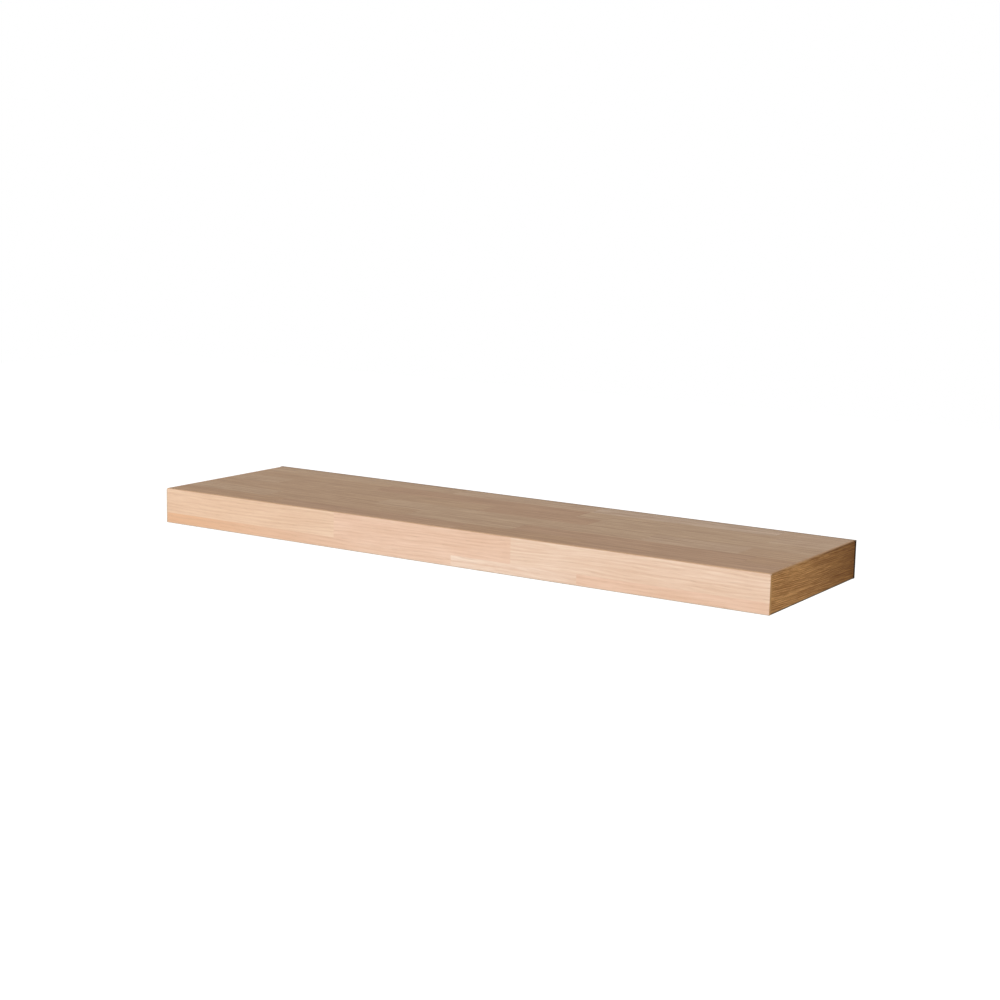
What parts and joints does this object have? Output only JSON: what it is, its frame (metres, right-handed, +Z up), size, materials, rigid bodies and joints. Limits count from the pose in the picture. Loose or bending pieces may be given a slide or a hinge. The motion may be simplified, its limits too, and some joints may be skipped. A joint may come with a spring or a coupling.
{
  "type": "floating wall shelf",
  "caption": "Straight thick oak-effect floating wall shelf: a hollow-core board that slides over the rods of a concealed steel wall bracket and is locked from below.",
  "frame": {"origin": "middle of the bracket plate's back, on the wall plane and halfway up the shelf's thickness", "axes": "+X along the shelf to the right, +Y into the wall (the front face looks along -Y), +Z up"},
  "size_m": [0.9, 0.25, 0.048],
  "materials": {
    "oak_foil": "satin oak-effect foil, staves along the length",
    "oak_front_band": "satin oak-effect edge band, grain along the length",
    "oak_end_band": "satin oak-effect edge band, grain from front to back",
    "fibreboard": "smooth pressed fibre",
    "dark_fibreboard": "smooth dark pressed fibre",
    "particleboard": "sawn chips",
    "kraft_paper": "matt brown paper",
    "coated_steel": "fine black powder coat",
    "bright_steel": "drawn bar, zinc plated",
    "weld_metal": "rippled weld bead",
    "zinc_wire": "galvanised wire",
    "brass": "turned",
    "blackened_steel": "black oxide",
    "nylon": "natural nylon"
  },
  "bodies": {
    "wall_bracket": {"bracket_plate": "coated_steel", "left_support_rod": "bright_steel", "centre_support_rod": "bright_steel", "right_support_rod": "bright_steel", "rod_welds": "weld_metal"},
    "shelf": {"front_edge_band": "oak_front_band", "left_edge_band": "oak_end_band", "right_edge_band": "oak_end_band", "top_foil": "oak_foil", "bottom_foil": "oak_foil", "top_skin": "fibreboard", "bottom_skin": "fibreboard", "back_panel": "dark_fibreboard", "front_rail": "particleboard", "far_left_rear_rail": "particleboard", "left_rear_rail": "particleboard", "right_rear_rail": "particleboard", "far_right_rear_rail": "particleboard", "left_end_rail": "particleboard", "right_end_rail": "particleboard", "left_rod_guide": "particleboard", "centre_rod_guide": "particleboard", "right_rod_guide": "particleboard", "frame_staples": "zinc_wire", "far_left_honeycomb": "kraft_paper", "left_honeycomb": "kraft_paper", "right_honeycomb": "kraft_paper", "far_right_honeycomb": "kraft_paper", "left_lock_insert": "brass", "right_lock_insert": "brass"},
    "left_pad": {"left_lock_pad": "nylon"},
    "left_screw": {"left_lock_screw": "blackened_steel"},
    "right_pad": {"right_lock_pad": "nylon"},
    "right_screw": {"right_lock_screw": "blackened_steel"}
  },
  "joints": [
    {"name": "shelf_slide", "type": "slide", "parent": "wall_bracket", "child": "shelf", "axis": [0, -1, 0], "range_m": [0, 0.18]},
    {"name": "left_lock_travel", "type": "slide", "parent": "shelf", "child": "left_pad", "axis": [0, 0, -1], "range_m": [0, 0.002]},
    {"name": "left_lock_turn", "type": "hinge", "parent": "left_pad", "child": "left_screw", "pos_m": [-0.3, -0.03, -0.012], "axis": [0, 0, -1], "range_deg": [0, 720]},
    {"name": "right_lock_travel", "type": "slide", "parent": "shelf", "child": "right_pad", "axis": [0, 0, -1], "range_m": [0, 0.002]},
    {"name": "right_lock_turn", "type": "hinge", "parent": "right_pad", "child": "right_screw", "pos_m": [0.3, -0.03, -0.012], "axis": [0, 0, -1], "range_deg": [0, 720]}
  ],
  "couplings": [
    {"joint": "left_lock_turn", "follows": "left_lock_travel", "rad_per_m": 6283.2},
    {"joint": "right_lock_turn", "follows": "right_lock_travel", "rad_per_m": 6283.2}
  ]
}
